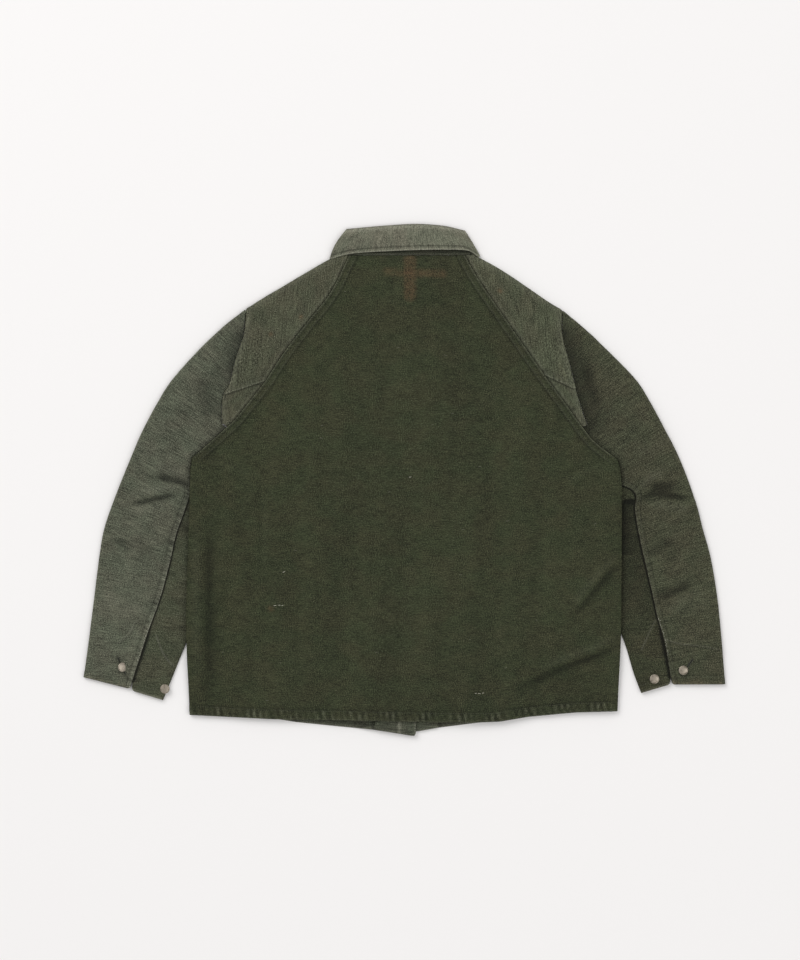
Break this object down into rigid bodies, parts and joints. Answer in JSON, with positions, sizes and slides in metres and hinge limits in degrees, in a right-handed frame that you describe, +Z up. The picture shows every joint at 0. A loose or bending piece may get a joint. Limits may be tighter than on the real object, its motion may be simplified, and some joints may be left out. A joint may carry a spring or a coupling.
{
  "type": "raglan work jacket lying flat, back up",
  "caption": "Cropped raglan work jacket in heavy olive cotton, laid flat with its back up, collar folded down and vented cuffs with snap caps.",
  "frame": {"origin": "middle of the underside of the garment's box, on the surface it lies on", "axes": "+X to the right across the back, seen from above; +Y up the back to the collar; +Z up from the surface"},
  "size_m": [0.9298, 0.7412, 0.0105],
  "materials": {
    "back_cloth": "dark olive slubby plain-weave cotton, washed and matt",
    "sleeve_cloth": "grey olive slubby plain-weave cotton, faded and matt",
    "collar_cloth": "faded grey green cotton, worn pale at the edges",
    "snap_metal": "old silver, tarnished and softly brushed"
  },
  "bodies": {
    "root": {"back_panel": "back_cloth", "front_left": "sleeve_cloth", "front_right": "sleeve_cloth", "facing_left": "sleeve_cloth", "facing_right": "sleeve_cloth", "shoulder_left": "sleeve_cloth", "shoulder_right": "sleeve_cloth", "underarm_left": "sleeve_cloth", "underarm_right": "sleeve_cloth", "sleeve_outer_left": "sleeve_cloth", "sleeve_outer_right": "sleeve_cloth", "sleeve_under_left": "sleeve_cloth", "sleeve_under_right": "sleeve_cloth", "neck_band": "sleeve_cloth", "collar": "collar_cloth", "snap_left_outer": "snap_metal", "snap_left_inner": "snap_metal", "snap_right_outer": "snap_metal", "snap_right_inner": "snap_metal"}
  },
  "joints": []
}
